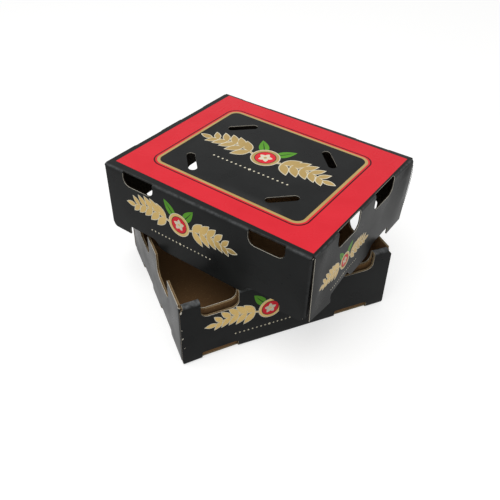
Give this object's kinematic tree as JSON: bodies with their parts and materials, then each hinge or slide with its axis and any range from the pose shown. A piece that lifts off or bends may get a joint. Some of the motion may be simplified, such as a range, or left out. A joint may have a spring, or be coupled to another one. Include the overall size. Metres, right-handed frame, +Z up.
{
  "type": "cherry gift box",
  "caption": "Folded corrugated gift box for cherries: a tray with rolled walls and a notched rim, and a vented lid lying turned across it.",
  "frame": {"origin": "centre of the underside of the tray's floor", "axes": "+X along the tray's long side, +Y across it towards the back, +Z up"},
  "size_m": [0.3658, 0.381, 0.191],
  "materials": {
    "tray_board": "satin black print outside, plain brown kraft inside",
    "lid_board": "satin black print with a red border and foil lines outside, plain brown kraft inside"
  },
  "bodies": {
    "root": {"tray": "tray_board", "lid": "lid_board"}
  },
  "joints": []
}
